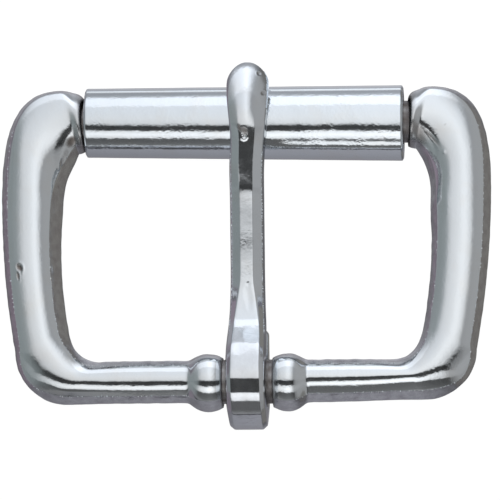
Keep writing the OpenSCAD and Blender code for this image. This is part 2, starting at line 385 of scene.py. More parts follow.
class Tree:
    """Short way to write a node tree."""

    def __init__(self, tree: bpy.types.NodeTree) -> None:
        """Wraps a node tree.

        Args:
            tree: tree to add nodes to.
        """
        self.tree = tree

    @classmethod
    def material(cls, name: str) -> tuple[bpy.types.Material, "Tree"]:
        """Makes an empty material and wraps its tree."""
        material = bpy.data.materials.new(name)
        material.use_nodes = True
        material.node_tree.nodes.clear()
        return material, cls(material.node_tree)

    @classmethod
    def group(cls, name: str, numbers: tuple[str, ...]) -> tuple["Tree", bpy.types.NodeOutputs]:
        """Makes a geometry tree with named inputs.

        Args:
            name: name of the tree.
            numbers: names of its inputs for numbers; geometry, seed and material come with them.

        Returns:
            The wrapped tree and the outputs that give its inputs.
        """
        group = bpy.data.node_groups.new(name, "GeometryNodeTree")
        kinds = {"Geometry": "Geometry", **dict.fromkeys(numbers, "Float"), "Seed": "Int",
                 "Material": "Material"}
        for label, kind in kinds.items():
            group.interface.new_socket(label, in_out="INPUT", socket_type="NodeSocket" + kind)
        group.interface.new_socket("Geometry", in_out="OUTPUT", socket_type="NodeSocketGeometry")
        t = cls(group)
        return t, t.add("NodeGroupInput").outputs

    def dress(self, geometry: Socket, material: Socket) -> bpy.types.NodeTree:
        """Makes the geometry plain, gives it the material and ends the tree with it."""
        whole = self.add("GeometryNodeRealizeInstances", {"Geometry": geometry}).outputs[0]
        dressed = self.add("GeometryNodeSetMaterial", {"Geometry": whole, "Material": material})
        self.add("NodeGroupOutput", {0: dressed.outputs[0]})
        return self.tree

    def add(self, kind: str, inputs: dict | None = None, **settings) -> bpy.types.Node:
        """Adds a node.

        Args:
            kind: type name of the node.
            inputs: value or output socket by input name or number.
            **settings: properties of the node.

        Returns:
            The new node.
        """
        node = self.tree.nodes.new(kind)
        for key, value in settings.items():
            setattr(node, key, value)
        for key, value in (inputs or {}).items():
            self.feed(node.inputs[key], value)
        return node

    def feed(self, socket: Socket, value: Input | tuple) -> None:
        """Links an output into a socket, or sets its value."""
        if isinstance(value, Socket):
            self.tree.links.new(value, socket)
        else:
            socket.default_value = value

    def math(self, operation: str, a: Input, b: Input = 0.0, c: Input = 0.0) -> Socket:
        """Adds a sum of up to three values and returns its result."""
        return self.add("ShaderNodeMath", {0: a, 1: b, 2: c}, operation=operation).outputs[0]

    def plus(self, a: Input, b: Input) -> Socket:
        """Adds a and b."""
        return self.math("ADD", a, b)

    def minus(self, a: Input, b: Input) -> Socket:
        """Takes b from a."""
        return self.math("SUBTRACT", a, b)

    def times(self, a: Input, b: Input) -> Socket:
        """Multiplies a and b."""
        return self.math("MULTIPLY", a, b)

    def vector(self, x: Input, y: Input, z: Input) -> Socket:
        """Joins three values to a vector."""
        return self.add("ShaderNodeCombineXYZ", {0: x, 1: y, 2: z}).outputs[0]

    def remap(self, value: Input, low: float, high: float, to_low: float, to_high: float) -> Socket:
        """Maps a value from one range to another and returns it, clamped."""
        inputs = {"Value": value, "From Min": low, "From Max": high, "To Min": to_low, "To Max": to_high}
        return self.add("ShaderNodeMapRange", inputs).outputs["Result"]

    def noise(self, place: Socket, per_mm: float, detail: float, seed: Input = 0.0) -> Socket:
        """Adds smooth noise with so many waves a millimetre and returns its factor."""
        inputs = {"Vector": place, "Scale": per_mm / MM, "Detail": detail, "W": seed}
        return self.add("ShaderNodeTexNoise", inputs, noise_dimensions="4D").outputs[0]

    def ramp(self, value: Socket, stops: list[tuple[float, tuple]]) -> Socket:
        """Adds a colour ramp and returns its colour."""
        node = self.add("ShaderNodeValToRGB", {"Fac": value})
        elements = node.color_ramp.elements
        elements[0].position, elements[0].color = stops[0]
        elements[1].position, elements[1].color = stops[-1]
        for position, colour in stops[1:-1]:
            elements.new(position).color = colour
        return node.outputs["Color"]

    def greys(self, value: Socket, rows: tuple[tuple[float, ...], ...], column: int) -> Socket:
        """Adds a ramp of greys, taken from a column of rows that start with the place."""
        return self.ramp(value, [(row[0], (row[column],) * 3 + (1,)) for row in rows])

    def blend(self, factor: Input, a: Socket | tuple, b: Socket | tuple, mode: str = "MIX") -> Socket:
        """Mixes two colours and returns the result."""
        node = self.add("ShaderNodeMix", data_type="RGBA", blend_type=mode)
        for number, value in ((0, factor), (6, a), (7, b)):
            self.feed(node.inputs[number], value)
        return node.outputs[2]


@dataclass(frozen=True)
class Plate:
    """Bright plate over metal, with orange peel, grain, and rough cast or cut skin.

    Attributes:
        name: name of the material.
        clean: colour of the plate.
        warm: colour where the plate is thin or stained.
        rough_tint: colour of the rough skin.
        soot_tint: colour of the dull places where parts meet, dark with dirt and with painted shade.
        peel: height of the orange peel, in millimetres.
        peel_per_mm: waves of the orange peel a millimetre.
        grain: height of the fine grain.
        skin: height of the lumps of the rough skin.
        polish: roughness of the clean plate.
        rough_dull: how much the rough skin adds to it.
        soot_dull: how much the dirt and painted shade add to it.
        seed: makes this plate's noise its own.
    """

    # noises: waves a millimetre (not for the peel, which has peel_per_mm), detail, seed, and, where
    # it is mapped, the range from which and the range to which
    STAIN, PATCHES = (0.35, 4, 0, 0.52, 0.75, 0, 0.35), (1.2, 4, 3, 0.40, 0.68, 0.4, 1)
    SMEAR, GRAIN_PATCHES = (0.8, 3, 5, 0.35, 0.7, 0, 0.06), (0.45, 1, 8, 0.4, 0.6, 0.25, 1)
    PEEL, GRAIN, LUMPS = (1.5, 7), (3.2, 2, 9), (1.5, 4, 11)

    name: str
    clean: Colour = (0.735, 0.77, 0.80, 1)
    warm: Colour = (0.71, 0.69, 0.66, 1)
    rough_tint: Colour = (0.53, 0.525, 0.56, 1)
    soot_tint: Colour = (0.16, 0.13, 0.11, 1)
    peel: float = 0.02
    peel_per_mm: float = 0.5
    grain: float = 0.014
    skin: float = 0.04
    polish: float = 0.07
    rough_dull: float = 0.12
    soot_dull: float = 0.4
    seed: float = 1.0

    def build(self) -> bpy.types.Material:
        """Makes the material's node tree.

        Returns:
            The material.
        """
        material, t = Tree.material(self.name)
        place = t.add("ShaderNodeTexCoord").outputs["Object"]
        rough, soot = (t.add("ShaderNodeAttribute", attribute_name=name).outputs["Fac"]
                       for name in ("rough", "soot"))

        def cloud(per_mm: float, detail: float, seed: float, *span: float) -> Socket:
            """Noise of this plate, mapped where a range is given."""
            found = t.noise(place, per_mm, detail, self.seed + seed)
            return t.remap(found, *span) if span else found

        colour = t.blend(cloud(*self.STAIN), self.clean, self.warm)
        colour = t.blend(t.times(rough, cloud(*self.PATCHES)), colour, self.rough_tint)
        # dirt and painted shade: the colour darkens to a dark brown where parts meet, on the bars and in
        # some dents
        colour = t.blend(soot, colour, self.soot_tint)

        polish = t.plus(cloud(*self.SMEAR), self.polish)
        for where, by in ((rough, self.rough_dull), (soot, self.soot_dull)):
            polish = t.math("MULTIPLY_ADD", where, by, polish)

        peel = t.times(cloud(self.peel_per_mm, *self.PEEL), self.peel * MM)
        grain = t.times(t.times(cloud(*self.GRAIN), self.grain * MM), cloud(*self.GRAIN_PATCHES))
        lumps = t.times(t.times(cloud(*self.LUMPS), rough), self.skin * MM)
        height = t.plus(t.plus(peel, grain), lumps)
        bump = t.add("ShaderNodeBump", {"Height": height, "Strength": 1.0, "Distance": 1.0})

        shader = t.add(
            "ShaderNodeBsdfPrincipled",
            {"Base Color": colour, "Metallic": 1.0, "Roughness": polish, "Normal": bump.outputs["Normal"]},
        )
        t.add("ShaderNodeOutputMaterial", {"Surface": shader.outputs["BSDF"]})
        return material


FRAME_PLATE = Plate("frame_plate", seed=1.0)
ROLLER_PLATE = Plate("roller_plate", clean=(0.725, 0.77, 0.81, 1), peel=0.025, grain=0.022, seed=21.0)
PRONG_PLATE = Plate("prong_plate", clean=(0.73, 0.765, 0.80, 1), peel_per_mm=0.7, grain=0.012, seed=41.0)


# ------------------------------------------------------------------ nibs along the seams


@dataclass(frozen=True)
class Flash:
    """Nibs of metal left along parting lines and cut edges, set out by a node tree.

    Attributes:
        name: name of the finished object.
        pitch: distance between nibs, in millimetres.
        size: half of a large nib's length.
        stray: how far nibs stray from the line.
        keep: share of the places that carry a nib.
        seed: makes these nibs differ from others.
        small: size of the smallest nibs over the largest.
    """

    name: str
    pitch: float = 0.12
    size: float = 0.1
    stray: float = 0.04
    keep: float = 0.4
    seed: int = 1
    small: float = 0.25

    def tree(self) -> bpy.types.NodeTree:
        """Makes the tree that turns lines into rows of nibs.

        Returns:
            The node tree, with named inputs.
        """
        t, given = Tree.group("seam_nibs", ("Pitch", "Size", "Stray", "Keep"))

        def chance(low: Input, high: Input, extra: int) -> Socket:
            """Random vector between two numbers on every axis."""
            inputs = {k: t.vector(v, v, v) for k, v in enumerate((low, high))}
            inputs["Seed"] = t.plus(given["Seed"], extra)
            return t.add("FunctionNodeRandomValue", inputs, data_type="FLOAT_VECTOR").outputs[0]

        curve = t.add("GeometryNodeMeshToCurve", {"Mesh": given["Geometry"]})
        points = t.add("GeometryNodeCurveToPoints", {
            "Curve": curve.outputs[0], "Length": given["Pitch"]}, mode="LENGTH")
        stray = chance(t.times(given["Stray"], -1.0), given["Stray"], 1)
        moved = t.add("GeometryNodeSetPosition", {"Geometry": points.outputs["Points"], "Offset": stray})
        kept = t.add("FunctionNodeRandomValue", {"Probability": given["Keep"], "Seed": given["Seed"]},
                     data_type="BOOLEAN")
        nib = t.add("GeometryNodeMeshIcoSphere", {"Radius": 1.0, "Subdivisions": 1})
        small = t.times(given["Size"], self.small)
        rows = t.add("GeometryNodeInstanceOnPoints", {
            "Points": moved.outputs[0], "Selection": kept.outputs[3], "Instance": nib.outputs["Mesh"],
            "Rotation": chance(0.0, 2 * math.pi, 2), "Scale": chance(small, given["Size"], 3)})
        return t.dress(rows.outputs[0], given["Material"])

    def build(self, sizes: BuckleSizes, lines: list[np.ndarray],
              material: bpy.types.Material) -> bpy.types.Object:
        """Makes the nibs along lines.

        Args:
            sizes: sizes that place the lines on the table.
            lines: rows of points in millimetres.
            material: finish of the nibs.

        Returns:
            The finished object.
        """
        edges, start = [], 0
        for line in lines:
            edges += [(start + k, start + k + 1) for k in range(len(line) - 1)]
            start += len(line)
        mesh = bpy.data.meshes.new(self.name + "_lines")
        mesh.from_pydata(sizes.lie(np.concatenate(lines)).tolist(), edges, [])
        values = {"Pitch": self.pitch * MM, "Size": self.size * MM, "Stray": self.stray * MM,
                  "Keep": self.keep, "Seed": self.seed, "Material": material}
        return settle_tree(add_object(self.name, mesh), self.tree(), values)


def settle_tree(obj: bpy.types.Object, group: bpy.types.NodeTree, values: dict) -> bpy.types.Object:
    """Runs a node tree on an object and keeps the result as its plain mesh.

    Args:
        obj: object to change.
        group: node tree.
        values: value by the name of the tree's input.

    Returns:
        The same object.
    """
    modifier = obj.modifiers.new(group.name, "NODES")
    modifier.node_group = group
    for item in group.interface.items_tree:
        if item.in_out == "INPUT" and item.name in values:
            modifier[item.identifier] = values[item.name]
    deps = bpy.context.evaluated_depsgraph_get()
    flat = bpy.data.meshes.new_from_object(obj.evaluated_get(deps))
    flat.name = obj.name
    obj.modifiers.clear()
    obj.data = flat
    return obj


# ------------------------------------------------------------------ the cast frame


@dataclass(frozen=True)
class Section:
    """Front and back of a bar across its width.

    Attributes:
        knots: share of the width from the outer edge, and tilt of the front there in degrees,
            positive towards the inner edge; the tilt runs evenly between knots, and two knots
            close together make a crease.
        top: height of the highest point, in millimetres.
        depth: how far the back lies behind the middle.
        square: squareness of the back.
    """

    knots: tuple[tuple[float, float], ...]
    top: float
    depth: float
    square: float

    # points between the knots, points of the back, and how rough the back is
    STEPS = (8, 2, 12, 13, 12, 6, 9, 10, 2, 8)
    BACK_STEPS, BACK_ROUGH = 38, 0.6

    def blended(self, other: "Section", t: float) -> "Section":
        """Section between this one and another."""
        knots = mix(np.array(self.knots), np.array(other.knots), t)
        return Section(knots, mix(self.top, other.top, t), mix(self.depth, other.depth, t),
                       mix(self.square, other.square, t))

    def scaled(self, by: float) -> "Section":
        """Section of the same form at another size."""
        return Section(self.knots, self.top * by, self.depth * by, self.square)

    def ring(self, width: float) -> tuple[np.ndarray, np.ndarray, np.ndarray]:
        """Points round the section.

        Args:
            width: full width of the bar here.

        Returns:
            Distances from the outer edge, heights, and how rough each point is.
        """
        knots = np.array(self.knots)
        share = np.concatenate(
            [mix(knots[i, 0], knots[i + 1, 0], spread(n)[:-1]) for i, n in enumerate(self.STEPS)]
            + [knots[-1:, 0]])
        slope = np.tan(np.radians(np.interp(share, knots[:, 0], knots[:, 1])))
        rise = -(slope[1:] + slope[:-1]) / 2 * np.diff(share) * width
        high = np.concatenate([[0], np.cumsum(rise)])
        high += self.top - high.max()
        outer, inner = (knots[1, 0] + knots[2, 0]) / 2, (knots[8, 0] + knots[9, 0]) / 2
        rough = np.where((share < outer) | (share > inner), 1.0, 0.0)
        a = np.pi * np.arange(1, self.BACK_STEPS) / self.BACK_STEPS
        c, deep = np.cos(a), np.sin(a) ** (2 / self.square)
        back = (1 + np.sign(c) * np.abs(c) ** (2 / self.square)) / 2
        back_z = mix(high[0], high[-1], back) * (1 - deep) - self.depth * deep
        return (width * np.concatenate([share, back]), np.concatenate([high, back_z]),
                np.concatenate([rough, np.full_like(a, self.BACK_ROUGH)]))


LEFT_ARM = Section(((0, -72), (0.106, -55), (0.122, -36.5), (0.26, -21), (0.40, -7), (0.60, 12.8),
                    (0.61, 13.8), (0.72, 25.3), (0.815, 36), (0.832, 50), (1, 66)), 2.3, 2.3, 2.7)
RIGHT_ARM = Section(((0, -72), (0.112, -57), (0.128, -37), (0.19, -22), (0.335, -7), (0.61, 12.5),
                     (0.63, 14), (0.76, 27.5), (0.885, 38.5), (0.900, 56), (1, 72)), 2.3, 2.3, 2.7)
FACE = Section(((0, -78), (0.07, -62), (0.085, -56), (0.22, -34), (0.40, -11.5), (0.60, 11.5),
                (0.61, 12.7), (0.75, 30), (0.915, 56), (0.93, 62), (1, 78)), 2.4, 2.4, 2.0)
KNOB = Section(FACE.knots, 2.6, 2.6, 2.1)
SHOULDER = Section(((0, -78), (0.085, -60), (0.095, -37), (0.15, -22), (0.29, -7), (0.58, 12.5),
                    (0.62, 15), (0.76, 29), (0.89, 45), (0.91, 57), (1, 74)), 2.35, 2.35, 2.5)
CORNER = Section(((0, -72), (0.05, -60), (0.062, -44), (0.17, -33), (0.34, -19), (0.50, -6),
                  (0.60, 4), (0.78, 24), (0.88, 38), (0.90, 52), (1, 68)), 2.3, 2.3, 2.7)
LEFT_HEEL = Section(((0, -70), (0.115, -60), (0.13, -49), (0.215, -47), (0.24, -34), (0.33, -21),
                     (0.44, -10.4), (0.55, 2), (0.78, 35), (0.92, 46), (1, 64)), 2.25, 2.25, 2.6)
RIGHT_HEEL = Section(((0, -70), (0.145, -60), (0.16, -46), (0.19, -42), (0.315, -34.5), (0.393, -21.5),
                      (0.505, -10.4), (0.56, 1), (0.78, 35), (0.92, 46), (1, 64)), 2.25, 2.25, 2.6)
BALL = Section(((0, -80), (0.105, -68), (0.12, -50), (0.24, -33), (0.33, -20.5), (0.43, -10.8),
                (0.56, 6), (0.75, 30), (0.87, 47.7), (0.895, 66), (1, 80)), 3.17, 3.17, 2.0)

# arm and heel bar of each side
BARS = {-1: (LEFT_ARM, LEFT_HEEL), 1: (RIGHT_ARM, RIGHT_HEEL)}

# points of a ring in the middle of its two creases
OUTER_CREASE = Section.STEPS[0] + 1
INNER_CREASE = sum(Section.STEPS[:8]) + 1
# creases that carry flash, and the stations between which it lies
FLASH_SPANS = ((OUTER_CREASE, 1.6, 4.7), (INNER_CREASE, 2.3, 4.6))


class Stretch(IntEnum):
    """Stretches of one side of the frame, by the station where they start."""

    FACE = 0
    SHOULDER = 1
    ARM = 2
    CORNER = 3
    HEEL = 4


@dataclass(frozen=True)
class Nudge:
    """A place where the casting's outline lies a little off its plain course, in millimetres.

    Attributes:
        x: middle of the place.
        y: middle of the place.
        wide: reach along X.
        high: reach along Y.
        right: how far the outline moves along X.
        up: how far the outline moves along Y.
    """

    x: float
    y: float
    wide: float
    high: float
    right: float
    up: float

    def near(self, x: float, y: float) -> float:
        """Share of the move that a point takes."""
        return math.exp(-(((x - self.x) / self.wide) ** 2) - ((y - self.y) / self.high) ** 2)


@dataclass
class CastFrame:
    """The casting: arms, shoulders, knobs, corners, heel bar, balls, top bar and journal.

    Attributes:
        sizes: driving sizes.
        name: name of the finished object.
        steps: ribs along each stretch of a side.
        dents: hollows and creases of the casting, some darkened with dirt and painted shade.
        nudges: places where its outline strays.
        out_level: height where an arm stands widest, as a share of the gap between the axes.
        in_level: height where the space between the arms is widest, likewise.
        web_level: height where the shoulder starts inside, likewise.
        square: squareness of the shoulder's outer curve.
        knob_rise: how high a knob's end stands over the bar, as a share of the shoulder's height.
        ball_blend: sharpness of the crease between ball and bar.
        ball_long: length of a ball's outer half over its radius.
        seams: lines along the creases, known once the casting is built.
    """

    sizes: BuckleSizes
    name: str = "frame_look"
    steps: dict[Stretch, int] = field(
        default_factory=lambda: {
            Stretch.FACE: 24, Stretch.SHOULDER: 60, Stretch.ARM: 76, Stretch.CORNER: 40,
            Stretch.HEEL: 76,
        }
    )
    # some wide, shallow dents near the shoulders mainly paint shade on the face beside the web
    dents: tuple[Dent, ...] = (
        Dent(-19.3, 26.5, 0.5, 0.08, 1.6, 0.0, -42, 0.9), Dent(-18.4, 27.9, 0.7, 0.03, 2.5, 0.0, -32, 0.3),
        Dent(-20.3, 24.4, 0.25, 0.06, 3.2, 0.3, -14, 0.3), Dent(-19.9, 25.3, 0.3, 0.03, 2.0, 0.2, -20, 0.3),
        Dent(19.9, 26.6, 0.22, 0.07, 7.7, 0.0, 42, 0.5), Dent(21.3, 24.8, 0.24, -0.06, 1.0, 0.0),
        Dent(18.4, 27.2, 0.8, 0.03, 2.2, 0.0, 38, 0.6), Dent(21.4, 27.7, 0.1, 0.06, dirt=0.9),
        Dent(-24.75, 12.4, 0.36, 0.2, 1.5, 0.35, 35, 0.9), Dent(-24.9, 11.5, 0.2, 0.1, 2.6, 0.3, 8, 0.8),
        Dent(20.8, 19.0, 0.8, 0.03, 3.0), Dent(-20.6, 15.0, 0.9, 0.03, 3.0),
    )
    nudges: tuple[Nudge, ...] = (
        Nudge(-18.6, 24.6, 1.7, 1.7, 0.25, -0.35), Nudge(19.8, 22.8, 1.5, 2.6, 0.2, 0.0),
        Nudge(20.0, -2.2, 7.0, 2.2, 0.0, 0.28), Nudge(24.5, 30.0, 3.5, 4.5, 0.1, 0.1),
        Nudge(-24.7, 29.5, 3.5, 4.5, -0.1, 0.1),
    )
    out_level: float = 0.745
    in_level: float = 0.54
    web_level: float = 0.66
    square: float = 2.5
    knob_rise: float = 0.64
    ball_blend: float = 14.0
    ball_long: float = 0.88
    seams: list[np.ndarray] = field(default_factory=list)

    # knob: power of its end's curve, start of its underside, scale of its first section, and how
    # fast the sections grow
    KNOB_POWER, KNOB_UNDER, KNOB_SCALE, KNOB_GROWTH = 0.8, 0.9, 0.66, 1.5
    # inner edge at the knob: how far it runs in over the knob's size, how far down over its
    # radius, and where it bends over its size
    NECK_IN, NECK_DOWN, NECK_BEND = 0.15, 1.04, 0.9
    # inner edge of a corner over its radius: where it starts, and how far in it bends
    CORNER_FROM, CORNER_BEND = 1.03, 0.1
    # how much closer the ribs lie towards the ball
    RIB_POWER = 1.35
    # bars inside the casting: sides, how much thinner they are, and their reach into the knobs
    BAR_SIDES, BAR_LESS, BAR_REACH = 64, 0.01, 0.5
    # long waves and lumps of the rough skin: height, length, and how far they lower the surface,
    # in millimetres; the left side's seed is one less than SEED and the right side's one more
    WAVES, LUMPS, SEED = (0.02, 4.5, 0.006), (0.05, 0.9, 0.02), 10.0
    # painted shade on the knobs' faces, and dirt and painted shade on the collars: how much, and its reach
    # in millimetres
    FACE_SOOT, COLLAR_SOOT = (0.7, 1.1), (0.8, 0.25)

    def arm_out(self, y: float) -> float:
        """Outer edge of an arm at the height y."""
        return self.sizes.out_x - self.lean(y, self.out_level)

    def arm_in(self, y: float) -> float:
        """Inner edge of an arm at the height y."""
        return self.sizes.inner_w / 2 - self.lean(y, self.in_level)

    def lean(self, y: float, level: float) -> float:
        """How far in an edge lies at the height y if it stands widest at this level."""
        widest_y = level * self.sizes.axis_gap
        return self.sizes.arm_lean * ((widest_y - y) / widest_y) ** 2

    def shares(self, stretch: Stretch) -> list[float]:
        """Shares of a stretch at which its ribs stand."""
        return [i / self.steps[stretch] for i in range(self.steps[stretch])]

    def edges(self) -> list[tuple[float, tuple, tuple, float]]:
        """Outer and inner edge points along one side.

        Returns:
            For each rib its station, outer point, inner point, and scale of its section; past
            the station of the heel, the share of the ball in the section takes the scale's place.
        """
        s = self.sizes
        found = []
        gap, quarter = s.axis_gap, math.pi / 2
        out_y, web_y = self.out_level * gap, self.web_level * gap
        top = (s.out_x - s.shoulder_in, gap + s.shoulder_rise)
        start = (s.knob_x + self.NECK_IN * s.knob_d, gap - self.NECK_DOWN * (s.knob_d / 2))
        bend = (self.arm_in(web_y), gap - self.NECK_BEND * s.knob_d)
        # quarter curve round the end of the knob
        for t in self.shares(Stretch.FACE):
            c, r = 1 - math.cos(quarter * t), math.sin(quarter * t)
            rise = s.shoulder_rise * mix(self.knob_rise, 1, r**self.KNOB_POWER)
            fall = (start[1] - gap) * mix(self.KNOB_UNDER, 1, r)
            scale = mix(self.KNOB_SCALE, 1.0, math.sin(quarter * min(1.0, self.KNOB_GROWTH * t)))
            found.append((Stretch.FACE + t, (mix(s.knob_x, top[0], c), gap + rise),
                          (mix(s.knob_x, start[0], c), gap + fall), scale))
        for t in self.shares(Stretch.SHOULDER):
            a = math.radians(90 * t)
            o = (top[0] + s.shoulder_in * math.sin(a) ** (2 / self.square),
                 out_y + (top[1] - out_y) * math.cos(a) ** (2 / self.square))
            found.append((Stretch.SHOULDER + t, o, bezier(start, bend, (bend[0], web_y), t), 1.0))
        foot_y, corner_y = s.corner_r - s.heel_w / 2, self.CORNER_FROM * s.corner_r
        for t in self.shares(Stretch.ARM):
            yo, yi = mix(out_y, foot_y, t), mix(web_y, corner_y, t)
            found.append((Stretch.ARM + t, (self.arm_out(yo), yo), (self.arm_in(yi), yi), 1.0))
        foot_x, heel_x = self.arm_out(foot_y) - s.corner_r, s.inner_w / 2 - s.heel_w
        start = (self.arm_in(corner_y), corner_y)
        bend = (start[0] - self.CORNER_BEND * s.corner_r, s.heel_w / 2)
        for t in self.shares(Stretch.CORNER):
            a = math.radians(-90 * t)
            o = (foot_x + s.corner_r * math.cos(a), foot_y + s.corner_r * math.sin(a))
            found.append((Stretch.CORNER + t, o, bezier(start, bend, (heel_x, s.heel_w / 2), t), 1.0))
        ball_r, bar_r, p = s.ball_d / 2, s.heel_w / 2, self.ball_blend
        for way in self.shares(Stretch.HEEL) + [1.0]:
            t = 1 - (1 - way) ** self.RIB_POWER
            x = mix(heel_x, s.collar_x, t)
            long = ball_r * (self.ball_long if x > s.ball_x else 1)
            ball = math.sqrt(max(0.0, 1 - ((x - s.ball_x) / long) ** 2)) * ball_r
            bar = bar_r if x > s.ball_x else 0.0
            half = (bar**p + ball**p) ** (1 / p)
            xo = x + (foot_x - heel_x) * max(0.0, 1 - 2 * t) ** 2
            found.append((Stretch.HEEL + way, (xo, -half), (x, half), (ball / half) ** p))
        return found

    def section(self, sign: int, station: float, share: float) -> Section:
        """Section of one side at a station.

        Args:
            sign: 1 for the right side and -1 for the left one.
            station: place along the side, before the heel bar.
            share: scale of the section.

        Returns:
            The section there.
        """
        arm, heel = BARS[sign]
        keys = [(Stretch.FACE, FACE), (0.4, KNOB), (0.6, KNOB), (1.0, SHOULDER), (1.5, SHOULDER),
                (2.1, arm), (Stretch.CORNER - 0.1, arm), (3.4, CORNER), (3.9, heel),
                (Stretch.HEEL, heel)]
        j = max(0, min(len(keys) - 2, sum(k[0] <= station for k in keys) - 1))
        t = (station - keys[j][0]) / (keys[j + 1][0] - keys[j][0])
        return keys[j][1].blended(keys[j + 1][1], float(ease(t))).scaled(share)

    def side(self, sign: int) -> tuple[np.ndarray, np.ndarray]:
        """Rings of one side, with waves and dents.

        Args:
            sign: 1 for the right side and -1 for the left one.

        Returns:
            Rings and their roughness.
        """
        rings, rough = [], []
        for station, o, i, share in self.edges():
            o, i = (self.settle(p, sign) for p in (o, i))
            width = math.dist(o, i)
            if station < Stretch.HEEL:
                section = self.section(sign, station, share)
            else:
                section = BARS[sign][1].blended(BALL.scaled(width / self.sizes.ball_d), share)
            across, high, skin = section.ring(width)
            way = across / width
            rings.append(np.stack([mix(o[0], i[0], way), mix(o[1], i[1], way), high], -1))
            rough.append(skin)
        rings, rough = np.array(rings), np.array(rough)
        seed = self.SEED + sign
        push = waves(rings, *self.WAVES, seed) + rough * waves(rings, *self.LUMPS, seed + 3)
        return pressed(rings, push, self.dents), rough

    def settle(self, p: tuple, sign: int) -> tuple[float, float]:
        """Moves a point of a side to where it lies in the uneven casting."""
        s = self.sizes
        share = min(1, max(0, (p[0] - s.ball_x) / (s.knob_x - s.ball_x)))
        x, y = sign * p[0] - s.arm_shift * share, p[1]
        near = [(nudge, nudge.near(x, y)) for nudge in self.nudges]
        return x + sum(k * n.right for n, k in near), y + sum(k * n.up for n, k in near)

    def build(self) -> bpy.types.Object:
        """Makes the casting's mesh and dresses it.

        Returns:
            The finished object.
        """
        s = self.sizes
        skin = Skin(self.name)
        for sign in (-1, 1):
            rings, rough = self.side(sign)
            face = np.abs(rings[..., 0] + s.arm_shift) - s.knob_x
            collar = np.abs(rings[..., 0]) - s.collar_x
            # painted shade: the knobs darken towards their faces by the roller's ends, the collars darken
            # by the prong's eye with dirt and painted shade, and the dents add theirs
            on_face, on_collar = (much * np.clip(1 - away / reach, 0, 1) for away, (much, reach)
                                  in ((face, self.FACE_SOOT), (collar, self.COLLAR_SOOT)))
            soot = np.maximum(on_face * (rings[..., 1] > s.axis_gap - s.knob_d), on_collar)
            for dent in self.dents:
                soot = np.maximum(soot, dent.soil(rings))
            skin.loft(rings, rough, soot, flip=sign > 0)
            station = np.array([rib[0] for rib in self.edges()])
            for line, low, high in FLASH_SPANS:
                self.seams.append(rings[(station > low) & (station < high), line])
        # the bars inside the casting come out dark all over, with dirt and painted shade in patches
        for middle, reach, across in (
            ((0, 0, 0), s.ball_x, s.journal_d),
            ((-s.arm_shift, s.axis_gap, 0), s.knob_x + self.BAR_REACH, s.bar_d),
        ):
            ends = (np.array(middle) + [k * reach, 0, 0] for k in (-1, 1))
            skin.cylinder(*ends, across / 2 - self.BAR_LESS, self.BAR_SIDES)
        return skin.build(s, FRAME_PLATE.build())


# ------------------------------------------------------------------ the roller


